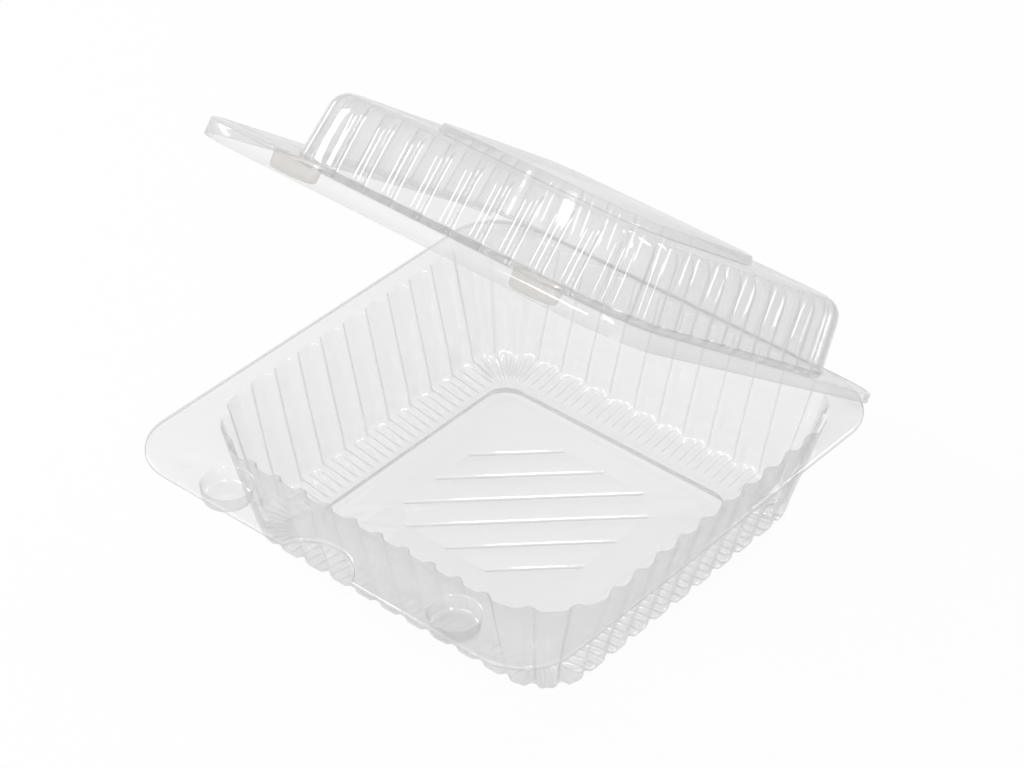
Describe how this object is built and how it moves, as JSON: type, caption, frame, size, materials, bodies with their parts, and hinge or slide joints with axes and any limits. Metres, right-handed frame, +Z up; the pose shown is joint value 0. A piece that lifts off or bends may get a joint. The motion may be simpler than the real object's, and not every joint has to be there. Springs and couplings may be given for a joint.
{
  "type": "plastic clamshell pack",
  "caption": "Clear hinged food pack: a square fluted tray with a wide front flange, snap sockets and a finger notch, and a ribbed domed lid that swings on a rear crease.",
  "frame": {"origin": "on the table, under the middle of the whole pack as it stands open", "axes": "+Z up, +Y to the rear, where the hinge crease is, so the front flange faces -Y; +X to the right of someone who faces +Y"},
  "size_m": [0.212, 0.2354, 0.1925],
  "materials": {
    "tray": "clear thermoformed sheet, glossy on both sides",
    "lid": "clear thermoformed sheet, glossy on both sides"
  },
  "bodies": {
    "tray": {"tray": "tray"},
    "lid": {"lid": "lid"}
  },
  "joints": [
    {"name": "lid_hinge", "type": "hinge", "parent": "tray", "child": "lid", "pos_m": [0, 0.11061, 0.05515], "axis": [-1, 0, 0], "range_deg": [-36.7, 143.3], "stiffness_Nm_per_rad": 0.05, "springref_deg": 18.33}
  ]
}
